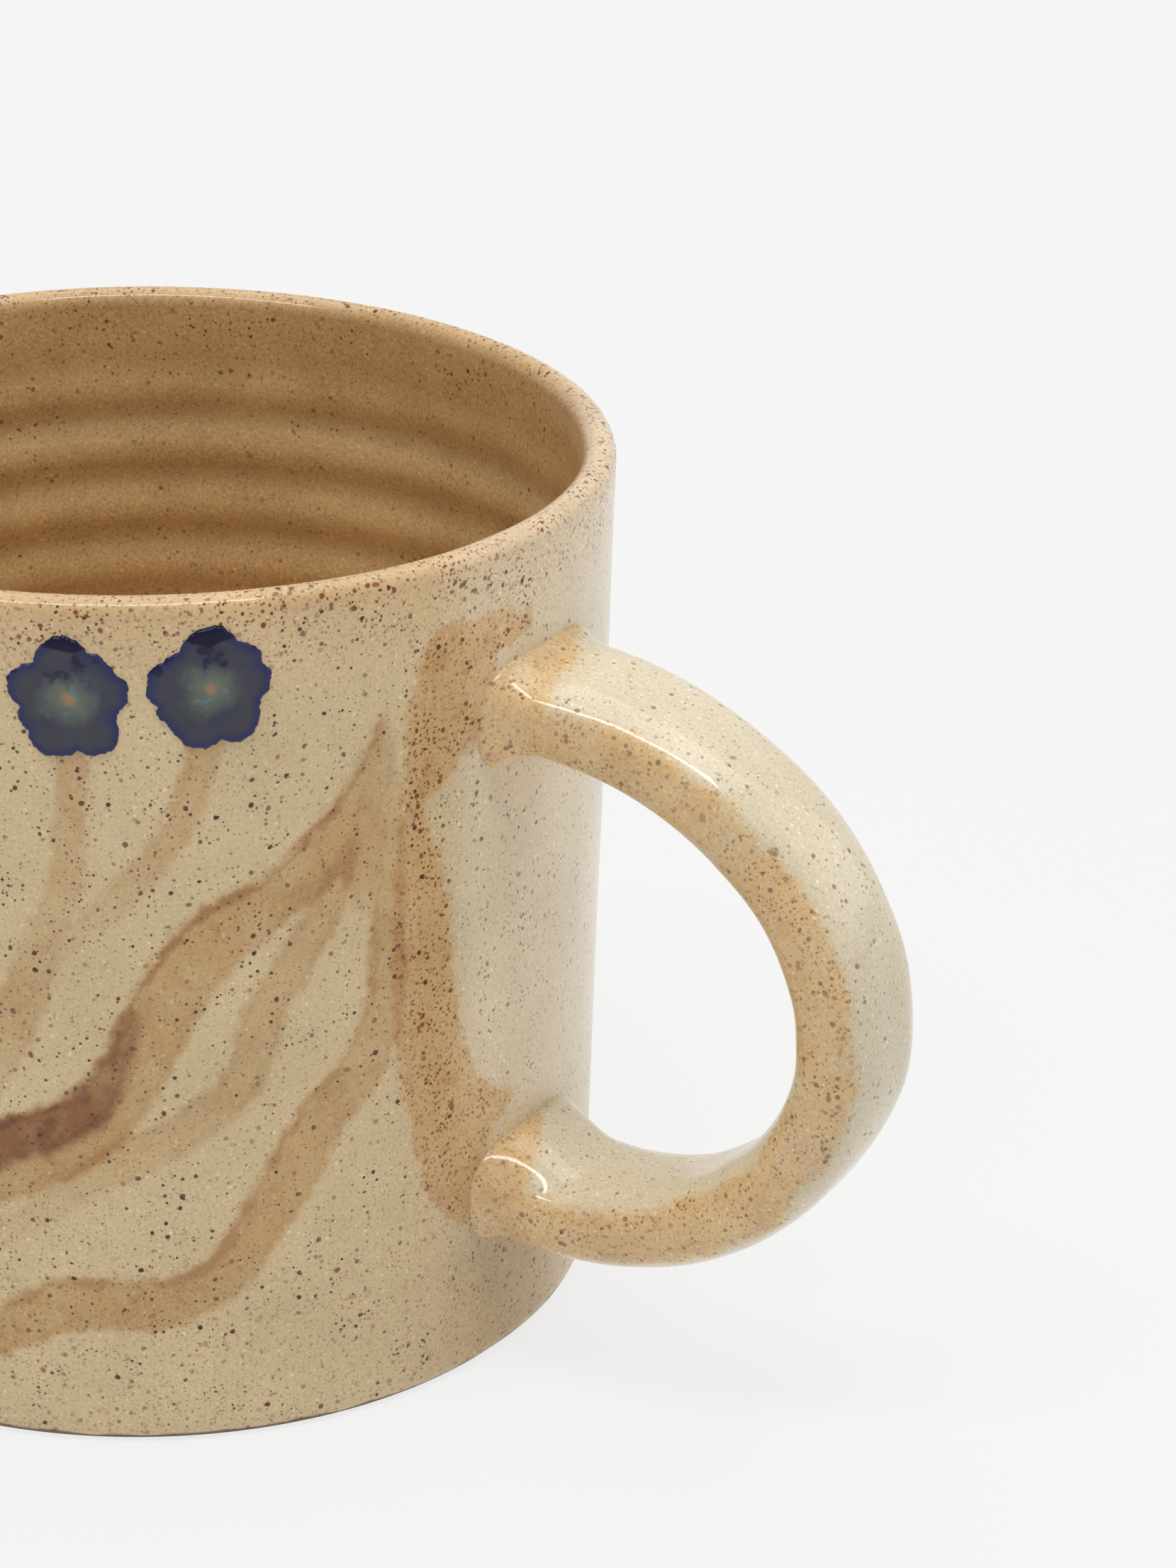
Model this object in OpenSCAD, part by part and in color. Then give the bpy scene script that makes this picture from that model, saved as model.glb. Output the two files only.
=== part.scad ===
// Wheel-thrown stoneware mug with a pulled strap handle.
// The origin is on the cup's axis at the foot, +Z is up, and the handle points along +X.

/* [Cup] */
// Outer diameter at the rim, mm
rim_d = 88; // [80:0.5:96]
// Outer diameter at the foot, mm
base_d = 85; // [78:0.5:94]
// Height from the foot to the top of the rim, mm
cup_h = 83.5; // [78:0.5:95]
// Thickness of the rounded rim, mm
rim_t = 3.1; // [2.6:0.1:5]
// Thickness of the wall just above the floor, mm
wall_t = 5; // [4:0.1:7]
// Thickness of the floor, mm
floor_t = 6; // [4:0.5:9]
// Radius of the inner corner between floor and wall, mm
corner_r = 9; // [4:0.5:14]
// Bevel trimmed round the foot, mm
foot_bevel = 0.8; // [0.4:0.1:2]

/* [Throwing rings] */
// Height of one ring left by the fingers on the inner wall, mm
ring_pitch = 6.4; // [5:0.1:10]
// Depth of a ring, mm
ring_depth = 0.9; // [0:0.1:1]

/* [Handle] */
// Height of the upper root on the wall, mm
upper_root_z = 66.5; // [64:0.5:70]
// Height of the lower root on the wall, mm
lower_root_z = 18.5; // [17:0.5:23]
// Reach of the strap's middle line from the cup's axis, mm
handle_reach = 76.5; // [70:0.5:84]
// Height of the point that reaches out furthest, mm
belly_z = 40; // [36:0.5:44]
// Width of the strap at the middle of the loop, mm
strap_w = 13.2; // [10:0.2:16]
// Width of the strap where it meets the wall, mm
root_w = 16.5; // [12:0.5:20]
// Thickness of the strap, mm
strap_t = 8; // [6:0.2:9]

/* [Joint slip] */
// Thickness of the slip collar against the wall, mm
slip_t = 2.4; // [1:0.1:3]
// How far the slip collar runs out along the strap, mm
slip_len = 5; // [3:0.5:8]

/* [Flowers] */
// Radius of a flower, mm
flower_r = 6; // [4:0.1:7]
// Height of the flowers' centres above the foot, mm
flower_z = 75.3; // [60:0.1:76]
// Angle of the left flower round the wall from the handle, degrees
left_flower_angle = -63; // [-90:1:-55]
// Angle of the right flower round the wall from the handle, degrees
right_flower_angle = -47; // [-50:1:-30]
// How far the thick glaze stands out from the wall, mm
flower_t = 0.5; // [0.3:0.1:1]

/* [Hidden] */
round_fn = 128;
clay = "#c9ad84";
clay_tan = "#b58f58";
slip = "#cdb48c";
blue_glaze = "#26315c";

// The outer wall is a slight cone from the foot to the rim.
function outer_r(z) = (base_d + (rim_d - base_d) * z / cup_h) / 2;
// The wall grows evenly thinner on its way up, and waves with the throwing rings.
ring_bottom = floor_t + corner_r;
ring_top = cup_h - 8;
ring_points = ceil((ring_top - ring_bottom) / ring_pitch) * 6;
function wall_at(z) = rim_t + (wall_t - rim_t) * (cup_h - z) / cup_h;
function ring_wave(z) = ring_depth / 2 * (1 - cos(360 * (ring_top - z) / ring_pitch));
function inner_r(z) = outer_r(z) - wall_at(z) + (z < ring_top ? ring_wave(z) : 0);
corner_x = inner_r(ring_bottom) - corner_r;
rim_z = cup_h - rim_t / 2;
rim_x = outer_r(rim_z) - rim_t / 2;

// Half of the cup's section, from the axis out along the foot and back in over the rim.
cup_profile = concat(
    [
        [0, 0],
        [outer_r(0) - foot_bevel, 0],
        [outer_r(foot_bevel), foot_bevel]
    ],
    [for (a = [0:15:180]) [rim_x + rim_t / 2 * cos(a), rim_z + rim_t / 2 * sin(a)]],
    [
        for (i = [0:ring_points])
        let (z = ring_top + (ring_bottom - ring_top) * i / ring_points)
        [inner_r(z), z]
    ],
    [
        for (a = [-10:-10:-90])
        [corner_x + corner_r * cos(a), ring_bottom + corner_r * sin(a)]
    ],
    [[0, floor_t]]
);

// A solid with the cup's outer cone, made larger by extra millimetres all round.
module outer_cone(extra = 0) {
    rotate_extrude($fn = round_fn)
        polygon([
            [0, 0],
            [outer_r(0) + extra, 0],
            [outer_r(cup_h) + extra, cup_h],
            [0, cup_h]
        ]);
}

// The strap's middle line is two Bezier curves, which meet at the belly of the loop.
// A point is [distance from the cup's axis, height], and the ends are inside the wall.
root_depth = 3;
upper_curve = [
    [outer_r(upper_root_z) - root_depth, upper_root_z + 0.3],
    [60.3, upper_root_z + 1.5],
    [handle_reach, belly_z + 17],
    [handle_reach, belly_z]
];
lower_curve = [
    [handle_reach, belly_z],
    [handle_reach, belly_z - 12],
    [61.5, lower_root_z - 7.2],
    [outer_r(lower_root_z) - root_depth, lower_root_z]
];
function bezier(p, t) =
    pow(1 - t, 3) * p[0] + 3 * pow(1 - t, 2) * t * p[1]
    + 3 * (1 - t) * t * t * p[2] + pow(t, 3) * p[3];
function bezier_way(p, t) =
    pow(1 - t, 2) * (p[1] - p[0]) + 2 * (1 - t) * t * (p[2] - p[1]) + t * t * (p[3] - p[2]);
// t runs from 0 at the upper root to 1 at the lower root.
function loop_point(t) = t < 0.5 ? bezier(upper_curve, 2 * t) : bezier(lower_curve, 2 * t - 1);
function loop_way(t) =
    let (way = t < 0.5 ? bezier_way(upper_curve, 2 * t) : bezier_way(lower_curve, 2 * t - 1))
    way / norm(way);
function width_at(t) = strap_w + (root_w - strap_w) * pow(abs(2 * t - 1), 2.5);

// A section of the strap is a superellipse, flat on its faces and round at its edges.
section_n = 3;
section_points = 28;
function round_power(x) = sign(x) * pow(abs(x), 2 / section_n);
function strap_ring(t, grow) =
    let (
        middle = loop_point(t),
        way = loop_way(t),
        half_t = strap_t / 2 + grow,
        half_w = width_at(t) / 2 + grow
    )
    [
        for (i = [0:section_points - 1])
        let (
            a = 360 * i / section_points,
            out = half_t * round_power(cos(a)),
            side = half_w * round_power(sin(a))
        )
        [middle[0] - way[1] * out, side, middle[1] + way[0] * out]
    ];

// Joins a list of rings into one closed skin of triangles.
module skin(rings) {
    n = len(rings[0]);
    last = len(rings) - 1;
    points = [for (ring = rings) each ring];
    walls = [
        for (k = [0:last - 1])
        for (i = [0:n - 1])
        let (j = (i + 1) % n, a = k * n + i, b = k * n + j)
        each [[a, b, a + n], [b, b + n, a + n]]
    ];
    start_cap = [for (i = [1:n - 2]) [0, i + 1, i]];
    end_cap = [for (i = [1:n - 2]) [last * n, last * n + i, last * n + i + 1]];
    polyhedron(points = points, faces = concat(start_cap, walls, end_cap));
}

strap_steps = 44;
module strap() {
    skin([for (k = [0:strap_steps]) strap_ring(k / strap_steps, 0)]);
}

// A collar of slip, thick against the wall and feathered out along the strap.
// start is the loop's end that it sits on, 0 or 1.
feather_t = 0.25;
collar_steps = 8;
collar_len = root_depth + slip_len;
// Millimetres along the middle line for each unit of t, close to an end of the loop.
function end_speed(start) =
    6 * norm(start == 0 ? upper_curve[1] - upper_curve[0] : lower_curve[3] - lower_curve[2]);
module joint_slip(start) {
    t_reach = collar_len / end_speed(start);
    difference() {
        skin([
            for (k = [0:collar_steps])
            let (
                part = (start == 0 ? k : collar_steps - k) / collar_steps,
                run = max(0, (part * collar_len - root_depth) / slip_len),
                t = start == 0 ? t_reach * part : 1 - t_reach * part
            )
            strap_ring(t, feather_t + (slip_t - feather_t) * pow(1 - run, 2))
        ]);
        strap();
        outer_cone();
    }
}

// Five round lobes about a middle.
lobe_r = flower_r * 0.38;
module flower_outline() {
    circle(r = flower_r * 0.6, $fn = 48);
    for (i = [0:4])
        rotate(72 * i)
            translate([flower_r - lobe_r, 0])
                circle(r = lobe_r, $fn = 48);
}

// A thick blob of glaze on the wall, at an angle from the handle.
module flower(angle) {
    intersection() {
        difference() {
            outer_cone(flower_t);
            outer_cone();
        }
        rotate([0, 0, angle])
            translate([0, 0, flower_z])
                rotate([0, 90, 0])
                    linear_extrude(height = rim_d)
                        rotate(180)
                            flower_outline();
    }
}

module cup_body() {
    color(clay)
        rotate_extrude($fn = round_fn)
            polygon(cup_profile);
}

module handle() {
    color(clay_tan)
        difference() {
            strap();
            outer_cone();
        }
}

module upper_joint_slip() {
    color(slip)
        joint_slip(0);
}

module lower_joint_slip() {
    color(slip)
        joint_slip(1);
}

module flower_left() {
    color(blue_glaze)
        flower(left_flower_angle);
}

module flower_right() {
    color(blue_glaze)
        flower(right_flower_angle);
}

cup_body();
handle();
upper_joint_slip();
lower_joint_slip();
flower_left();
flower_right();
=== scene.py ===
import math

import bmesh
import bpy
import numpy as np
from mathutils import Matrix, Vector


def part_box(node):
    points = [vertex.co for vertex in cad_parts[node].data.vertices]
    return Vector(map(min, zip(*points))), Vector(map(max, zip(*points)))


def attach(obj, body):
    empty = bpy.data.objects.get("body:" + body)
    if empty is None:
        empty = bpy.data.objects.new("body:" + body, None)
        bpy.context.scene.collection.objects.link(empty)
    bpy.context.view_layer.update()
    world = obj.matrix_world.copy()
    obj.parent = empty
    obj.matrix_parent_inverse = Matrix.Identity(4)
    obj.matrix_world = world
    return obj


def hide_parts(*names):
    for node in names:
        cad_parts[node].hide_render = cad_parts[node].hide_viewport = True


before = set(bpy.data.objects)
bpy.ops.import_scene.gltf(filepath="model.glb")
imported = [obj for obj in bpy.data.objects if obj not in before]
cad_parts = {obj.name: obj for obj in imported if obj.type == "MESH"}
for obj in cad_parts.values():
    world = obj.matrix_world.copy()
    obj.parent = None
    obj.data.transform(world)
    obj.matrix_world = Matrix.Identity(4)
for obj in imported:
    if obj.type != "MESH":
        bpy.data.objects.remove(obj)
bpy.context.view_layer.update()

# ---------------------------------------------------------------------------
# Sizes, in metres, as the potter would give them
# ---------------------------------------------------------------------------
MM = 0.001
CUP_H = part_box("cup_body")[1].z
RIM_R = 44.0 * MM
FOOT_R = 42.5 * MM
RIM_T = 3.1 * MM
WALL_T = 5.0 * MM
FLOOR_T = 6.0 * MM
CORNER_R = 9.0 * MM
FOOT_BEVEL = 0.8 * MM

RING_PITCH = 6.4 * MM
RING_DEPTH = 0.7 * MM
RING_TOP = CUP_H - 8.4 * MM
RING_BOTTOM = FLOOR_T + CORNER_R

HANDLE_REACH = 76.5 * MM
BELLY_Z = 40.0 * MM
UPPER_ROOT_Z = 66.5 * MM
LOWER_ROOT_Z = 18.5 * MM
STRAP_W = 13.2 * MM
ROOT_W = 16.5 * MM
STRAP_T = 8.0 * MM
ROOT_DEPTH = 3.0 * MM
SECTION_POWER = 3.0

FLOWER_Z = 75.3 * MM
LEFT_FLOWER_ANGLE = -63.0
RIGHT_FLOWER_ANGLE = -47.4
# The painted leaves are laid out in degrees to the right of this line on the wall.
MOTIF_ANGLE = -54.0


def outer_r(z):
    """Radius of the cup's outer wall at a height."""
    return FOOT_R + (RIM_R - FOOT_R) * z / CUP_H


def wall_thickness(z):
    """The wall gets evenly thinner on its way up."""
    return RIM_T + (WALL_T - RIM_T) * (CUP_H - z) / CUP_H


# ---------------------------------------------------------------------------
# Helpers for trees of nodes
# ---------------------------------------------------------------------------
FLOAT = "NodeSocketFloat"
WHOLE = "NodeSocketInt"
VECTOR = "NodeSocketVector"
COLOUR = "NodeSocketColor"
SHAPE = "NodeSocketGeometry"
FINISH = "NodeSocketMaterial"
KINDS = {float: FLOAT, int: WHOLE, tuple: COLOUR}


class Value:
    """What a node gives out. Arithmetic on it adds a Math node to its tree."""

    def __init__(self, tree, socket):
        self.tree = tree
        self.socket = socket

    def __add__(self, other):
        return maths("ADD", self, other)

    def __radd__(self, other):
        return maths("ADD", other, self)

    def __sub__(self, other):
        return maths("SUBTRACT", self, other)

    def __rsub__(self, other):
        return maths("SUBTRACT", other, self)

    def __mul__(self, other):
        return maths("MULTIPLY", self, other)

    def __truediv__(self, other):
        return maths("DIVIDE", self, other)

    def __rtruediv__(self, other):
        return maths("DIVIDE", other, self)

    def __pow__(self, other):
        return maths("POWER", self, other)


def plug(socket, value):
    """Links a value to an input, or sets the input to a constant."""
    if isinstance(value, Value):
        value.tree.links.new(value.socket, socket)
    else:
        socket.default_value = value


def put(tree, kind, **sockets):
    """Adds a node and fills its inputs. A name that starts with at_ is a property of the node,
    and in0, in1 are inputs by place."""
    node = tree.nodes.new(kind)
    for name, value in sockets.items():
        if name.startswith("at_"):
            setattr(node, name[3:], value)
    for name, value in sockets.items():
        if name.startswith("in") and name[2:].isdigit():
            plug(node.inputs[int(name[2:])], value)
        elif not name.startswith("at_"):
            plug(node.inputs[name.replace("_", " ")], value)
    return node


def read(tree, kind, output=0, **sockets):
    """Adds a node and gives one of its outputs."""
    return Value(tree, put(tree, kind, **sockets).outputs[output])


def maths(operation, a, b=0.0, c=None, clamp=False):
    """One step of arithmetic on two or three inputs, of which the first or second is a value."""
    tree = a.tree if isinstance(a, Value) else b.tree
    sockets = {"in0": a, "in1": b}
    if c is not None:
        sockets["in2"] = c
    return read(tree, "ShaderNodeMath", at_operation=operation, at_use_clamp=clamp, **sockets)


def smooth_step(value, low, high):
    """0 below low, 1 above high, and smooth between."""
    return read(value.tree, "ShaderNodeMapRange", at_interpolation_type="SMOOTHSTEP",
                Value=value, From_Min=low, From_Max=high)


def noise(place, scale, detail=2.0, roughness=0.5):
    """A cloudy noise from 0 to 1."""
    return read(place.tree, "ShaderNodeTexNoise", Vector=place, Scale=scale, Detail=detail,
                Roughness=roughness)


def vector(x, y, z=0.0):
    """Three numbers as one vector."""
    return read(x.tree, "ShaderNodeCombineXYZ", in0=x, in1=y, in2=z)


def parts(value, kind="ShaderNodeSeparateXYZ"):
    """Splits a vector or a colour into its three numbers."""
    return [Value(value.tree, output) for output in put(value.tree, kind, in0=value).outputs][:3]


def blend_colour(tree, mode, factor, a, b):
    """Mixes two colours."""
    return read(tree, "ShaderNodeMix", 2, at_data_type="RGBA", at_blend_type=mode, in0=factor, in6=a, in7=b)


def new_group(name, kind, inputs, outputs):
    """An empty node group with named sockets. An input is given by its default value, or by its
    kind where it has none, and an output by its kind."""
    group = bpy.data.node_groups.new(name, kind)
    for label, value in inputs.items():
        plain = isinstance(value, str)
        socket = group.interface.new_socket(
            label, in_out="INPUT", socket_type=value if plain else KINDS[type(value)]
        )
        if not plain:
            socket.default_value = value
    for label, socket_kind in outputs.items():
        group.interface.new_socket(label, in_out="OUTPUT", socket_type=socket_kind)
    start = group.nodes.new("NodeGroupInput")
    end = group.nodes.new("NodeGroupOutput")
    return group, {socket.name: Value(group, socket) for socket in start.outputs}, end.inputs


def use(tree, group, **sockets):
    """Places a node group, fills its inputs and gives its outputs by name."""
    node = tree.nodes.new("ShaderNodeGroup")
    node.node_tree = group
    for name, value in sockets.items():
        plug(node.inputs[name.replace("_", " ")], value)
    return {socket.name: Value(tree, socket) for socket in node.outputs}


# ---------------------------------------------------------------------------
# Camera, light and floor
# ---------------------------------------------------------------------------
CAMERA_ANGLE = -54.0
CAMERA_REACH = 0.4021
CAMERA_HEIGHT = 0.2262
CAMERA_YAW = 5.99
CAMERA_PITCH = 23.99
CAMERA_ROLL = 1.27
CAMERA_LENS = 104.6
TOP_POWER = 13.0
STRIP_POWER = 5.3
RIGHT_POWER = 3.0
SEEN_WORLD = 0.7
LIT_WORLD = 0.31
FLOOR_GLOW = 0.78
FLOOR_TONE = 0.12
FLOOR_HALF = 6.0


def add_camera():
    """Looks down at the cup from the painted side, with the cup left of the middle."""
    turn = math.radians(CAMERA_ANGLE)
    place = Vector((CAMERA_REACH * math.cos(turn), CAMERA_REACH * math.sin(turn), CAMERA_HEIGHT))
    ahead = Vector((-math.cos(turn), -math.sin(turn), 0.0))
    right = Vector((ahead.y, -ahead.x, 0.0))
    yaw, pitch, roll = (math.radians(a) for a in (CAMERA_YAW, CAMERA_PITCH, CAMERA_ROLL))
    look = (right * math.sin(yaw) + ahead * math.cos(yaw)) * math.cos(pitch)
    look.z = -math.sin(pitch)
    side = right * math.cos(yaw) - ahead * math.sin(yaw)
    up = side.cross(look)
    side_rolled = side * math.cos(roll) + up * math.sin(roll)
    up_rolled = up * math.cos(roll) - side * math.sin(roll)
    data = bpy.data.cameras.new("camera")
    data.lens = CAMERA_LENS
    data.sensor_width = 36.0
    data.clip_start = 0.01
    camera = bpy.data.objects.new("camera", data)
    columns = Matrix((side_rolled, up_rolled, -look)).transposed()
    camera.matrix_world = Matrix.Translation(place) @ columns.to_4x4()
    bpy.context.scene.collection.objects.link(camera)
    bpy.context.scene.camera = camera


def area_light(name, angle, reach, height, size, power, colour=(1.0, 1.0, 1.0), level=False):
    """A soft box that faces the mug. It stands at an angle to the right of the line from the mug
    to the camera. A level box hangs flat overhead, with its long side across the view."""
    data = bpy.data.lights.new(name, "AREA")
    data.shape = "RECTANGLE"
    data.size, data.size_y = size
    data.energy = power
    data.color = colour
    light = bpy.data.objects.new(name, data)
    turn = math.radians(CAMERA_ANGLE + angle)
    light.location = (reach * math.cos(turn), reach * math.sin(turn), height)
    way = Vector((0.0, 0.0, 0.05)) - light.location
    light.rotation_euler = way.to_track_quat("-Z", "Y").to_euler()
    if level:
        light.rotation_euler = (0.0, 0.0, math.radians(CAMERA_ANGLE + 90.0))
    bpy.context.scene.collection.objects.link(light)


def studio_world():
    """An even pale surround, a little brighter where it is seen or mirrored than as light."""
    world = bpy.data.worlds.new("studio")
    world.use_nodes = True
    tree = world.node_tree
    tree.nodes.clear()
    seen = read(tree, "ShaderNodeBackground", Color=(1.0, 1.0, 1.0, 1.0), Strength=SEEN_WORLD)
    lit = read(tree, "ShaderNodeBackground", Color=(1.0, 0.99, 0.975, 1.0), Strength=LIT_WORLD)
    on_matt = read(tree, "ShaderNodeLightPath", "Is Diffuse Ray")
    mix = read(tree, "ShaderNodeMixShader", in0=on_matt, in1=seen, in2=lit)
    put(tree, "ShaderNodeOutputWorld", Surface=mix)
    bpy.context.scene.world = world


def add_floor():
    """A wide pale sheet under the mug."""
    mesh = bpy.data.meshes.new("floor")
    half = FLOOR_HALF
    corners = [(-half, -half, 0), (half, -half, 0), (half, half, 0), (-half, half, 0)]
    mesh.from_pydata(corners, [], [(0, 1, 2, 3)])
    floor = new_object("floor", mesh)
    material = bpy.data.materials.new("pale_paper")
    material.use_nodes = True
    set_inputs(material.node_tree.nodes["Principled BSDF"], {
        "Base Color": (FLOOR_TONE, FLOOR_TONE, FLOOR_TONE, 1.0), "Emission Color": (1.0, 1.0, 1.0, 1.0),
        "Emission Strength": FLOOR_GLOW, "Roughness": 0.9, "Specular IOR Level": 0.1,
    })
    mesh.materials.append(material)


def add_lights():
    """A strip hung overhead makes the long highlights, and big boxes fill from above and the right."""
    studio_world()
    area_light("strip_box", -28.0, 0.32, 1.0, (0.9, 0.13), STRIP_POWER, (1.0, 0.985, 0.96), level=True)
    area_light("top_box", 150.0, 0.4, 1.6, (1.6, 1.6), TOP_POWER)
    area_light("right_box", 95.0, 1.3, 0.7, (1.2, 1.0), RIGHT_POWER)
    view = bpy.context.scene.view_settings
    view.view_transform = "Standard"
    view.look = "None"


def new_object(name, mesh):
    """Links a mesh into the scene as an object at the origin."""
    piece = bpy.data.objects.new(name, mesh)
    bpy.context.scene.collection.objects.link(piece)
    return piece


def run_geometry_nodes(source, group, name, values):
    """Runs a geometry tree on a source object and returns the result as a plain mesh object."""
    modifier = source.modifiers.new(group.name, "NODES")
    modifier.node_group = group
    for item in group.interface.items_tree:
        if item.in_out == "INPUT" and item.name in values:
            modifier[item.identifier] = values[item.name]
    depsgraph = bpy.context.evaluated_depsgraph_get()
    depsgraph.update()
    mesh = bpy.data.meshes.new_from_object(source.evaluated_get(depsgraph), depsgraph=depsgraph)
    mesh.name = name
    old_data = source.data
    bpy.data.objects.remove(source)
    (bpy.data.meshes if isinstance(old_data, bpy.types.Mesh) else bpy.data.curves).remove(old_data)
    return new_object(name, mesh)


def turn_outwards(mesh):
    """Merges doubles and points a closed skin's faces outwards."""
    shape = bmesh.new()
    shape.from_mesh(mesh)
    bmesh.ops.remove_doubles(shape, verts=shape.verts, dist=2e-7)
    bmesh.ops.dissolve_degenerate(shape, edges=shape.edges, dist=1e-7)
    bmesh.ops.recalc_face_normals(shape, faces=shape.faces)
    if shape.calc_volume(signed=True) < 0:
        bmesh.ops.reverse_faces(shape, faces=shape.faces)
    shape.to_mesh(mesh)
    shape.free()
    for polygon in mesh.polygons:
        polygon.use_smooth = True


def places(mesh):
    """The vertices of a mesh as an array."""
    flat = np.zeros(len(mesh.vertices) * 3)
    mesh.vertices.foreach_get("co", flat)
    return flat.reshape(-1, 3)


def store(mesh, name, values):
    """Stores one number on each vertex."""
    attribute = mesh.attributes.new(name, "FLOAT", "POINT")
    attribute.data.foreach_set("value", np.asarray(values, np.float32))


def wrapped_grid(rows, around):
    """A grid of points to bend into a skin: the grid, and each point's row and turn."""
    group = rows.tree
    columns = around + 1.0
    grid = read(group, "GeometryNodeMeshGrid", Vertices_X=rows, Vertices_Y=columns)
    index = read(group, "GeometryNodeInputIndex")
    row = maths("FLOOR", (index + 0.5) / columns)
    turn = (index - row * columns) / around * (2 * math.pi)
    return grid, row, turn


def sample(shape, field, index):
    """A vector field of a shape, such as its points' places, at one point, as three numbers."""
    found = read(shape.tree, "GeometryNodeSampleIndex", at_data_type="FLOAT_VECTOR",
                 Geometry=shape, Value=read(shape.tree, field), Index=index)
    return parts(found)


def glazed_skin(grid, place, stored, glaze):
    """Moves the grid's points to their places, stores numbers on them, closes the seam and glazes."""
    group = grid.tree
    shape = read(group, "GeometryNodeSetPosition", Geometry=grid, Position=place)
    for label, value in stored:
        shape = read(group, "GeometryNodeStoreNamedAttribute", at_data_type="FLOAT", at_domain="POINT",
                     Geometry=shape, Name=label, Value=value)
    shape = read(group, "GeometryNodeMergeByDistance", Geometry=shape, Distance=2e-6)
    shape = read(group, "GeometryNodeRealizeInstances", Geometry=shape)
    return read(group, "GeometryNodeSetMaterial", Geometry=shape, Material=glaze)


def round_noise(turn, along, **settings):
    """A slow noise on a cylinder, the same at its seam, from -0.5 to 0.5."""
    spot = vector(maths("COSINE", turn), maths("SINE", turn), along)
    return read(turn.tree, "ShaderNodeTexNoise", at_noise_dimensions="4D", Vector=spot, **settings) - 0.5


def slow_noise(angle, seed, waves=5):
    """A gentle closed wave round a circle, from -1 to 1 or so, the same on each run."""
    dice = np.random.default_rng(seed)
    total = np.zeros_like(angle)
    for k in range(1, waves + 1):
        total += dice.uniform(0.4, 1.0) / k * np.cos(k * angle + dice.uniform(0, 2 * math.pi))
    return total / 1.5


# ---------------------------------------------------------------------------
# The thrown cup
# ---------------------------------------------------------------------------
AROUND_CUP = 440
ROW_GAP = 0.85 * MM


def arc(centre, radius, start, end, steps):
    """Points on an arc, with angles in degrees."""
    points = []
    for k in range(steps + 1):
        a = math.radians(start + (end - start) * k / steps)
        points.append((centre[0] + radius * math.cos(a), centre[1] + radius * math.sin(a)))
    return points


def line(start, end, gap):
    """Points on a line, about gap apart, without its last point."""
    steps = max(1, round(math.dist(start, end) / gap))
    return [
        (start[0] + (end[0] - start[0]) * k / steps, start[1] + (end[1] - start[1]) * k / steps)
        for k in range(steps)
    ]


def cup_section():
    """Half of the cup's section, from the middle of the foot over the rim to the floor inside.
    Each point is (distance from the axis, height, 1 on the inner wall or 0)."""
    rim_z = CUP_H - RIM_T / 2
    rim_x = outer_r(rim_z) - RIM_T / 2
    inner_r = outer_r(RING_BOTTOM) - wall_thickness(RING_BOTTOM)
    corner = (inner_r - CORNER_R, RING_BOTTOM)
    bevel_top = (outer_r(FOOT_BEVEL), FOOT_BEVEL)
    bevel_foot = (FOOT_R - FOOT_BEVEL, 0.0)
    outside = (
        line((0.0, 0.0), bevel_foot, 5 * MM)
        + line(bevel_foot, bevel_top, 0.3 * MM)
        + line(bevel_top, (rim_x + RIM_T / 2, rim_z), ROW_GAP)
        + arc((rim_x, rim_z), RIM_T / 2, 0, 180, 12)
    )
    inside = line((rim_x - RIM_T / 2, rim_z), (inner_r, RING_BOTTOM), 1.3 * MM)[1:]
    floor = arc(corner, CORNER_R, 0, -90, 9) + line((corner[0], FLOOR_T), (0.0, FLOOR_T), 4 * MM)[1:]
    points = [(x, z, 0.0) for x, z in outside]
    points += [(x, z, 1.0) for x, z in inside]
    points += [(x, z, 0.0) for x, z in floor + [(0.0, FLOOR_T)]]
    return points


def throwing_wheel():
    """A geometry tree that turns a section round the axis, with rings and a slight wobble."""
    group, given, result = new_group(
        "throwing_wheel", "GeometryNodeTree",
        {
            "Section": SHAPE, "Rows": 10, "Around": AROUND_CUP, "Ring Pitch": RING_PITCH,
            "Ring Depth": RING_DEPTH, "Ring Top": RING_TOP, "Ring Bottom": RING_BOTTOM,
            "Wobble": 0.5 * MM, "Rim Wave": 0.15 * MM, "Height": CUP_H, "Seed": 3.0, "Glaze": FINISH,
        },
        {"Geometry": SHAPE},
    )
    grid, row, turn = wrapped_grid(given["Rows"], given["Around"])
    radius, inner, height = sample(given["Section"], "GeometryNodeInputPosition", row)
    # Finger rings climb the inner wall as a spiral, and die out at its ends.
    below = given["Ring Top"] - height
    phase = (below / given["Ring Pitch"] - turn / (2 * math.pi)) * (2 * math.pi)
    wave = (1.0 - maths("COSINE", phase)) * 0.5
    fade_top = smooth_step(below, -0.004, 0.005)
    fade_low = smooth_step(height - given["Ring Bottom"], -0.001, 0.008)
    ring = wave * given["Ring Depth"] * (fade_top * fade_low * inner)
    # The wall is never quite round.
    uneven = round_noise(turn, height * 18.0, W=given["Seed"], Scale=1.6, Detail=2.0)
    wobble = uneven * given["Wobble"] * smooth_step(height, 0.0005, 0.012)
    moved = radius + (ring + wobble * smooth_step(radius, 0.03, 0.038))
    lift = (height / given["Height"]) ** 6.0
    rim_wave = maths("SINE", turn * 2.0 + given["Seed"])
    raised = height + lift * ((rim_wave - 1.0) * given["Rim Wave"])
    place = vector(moved * maths("COSINE", turn), moved * maths("SINE", turn), raised)
    plug(result["Geometry"], glazed_skin(grid, place, (), given["Glaze"]))
    return group


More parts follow.
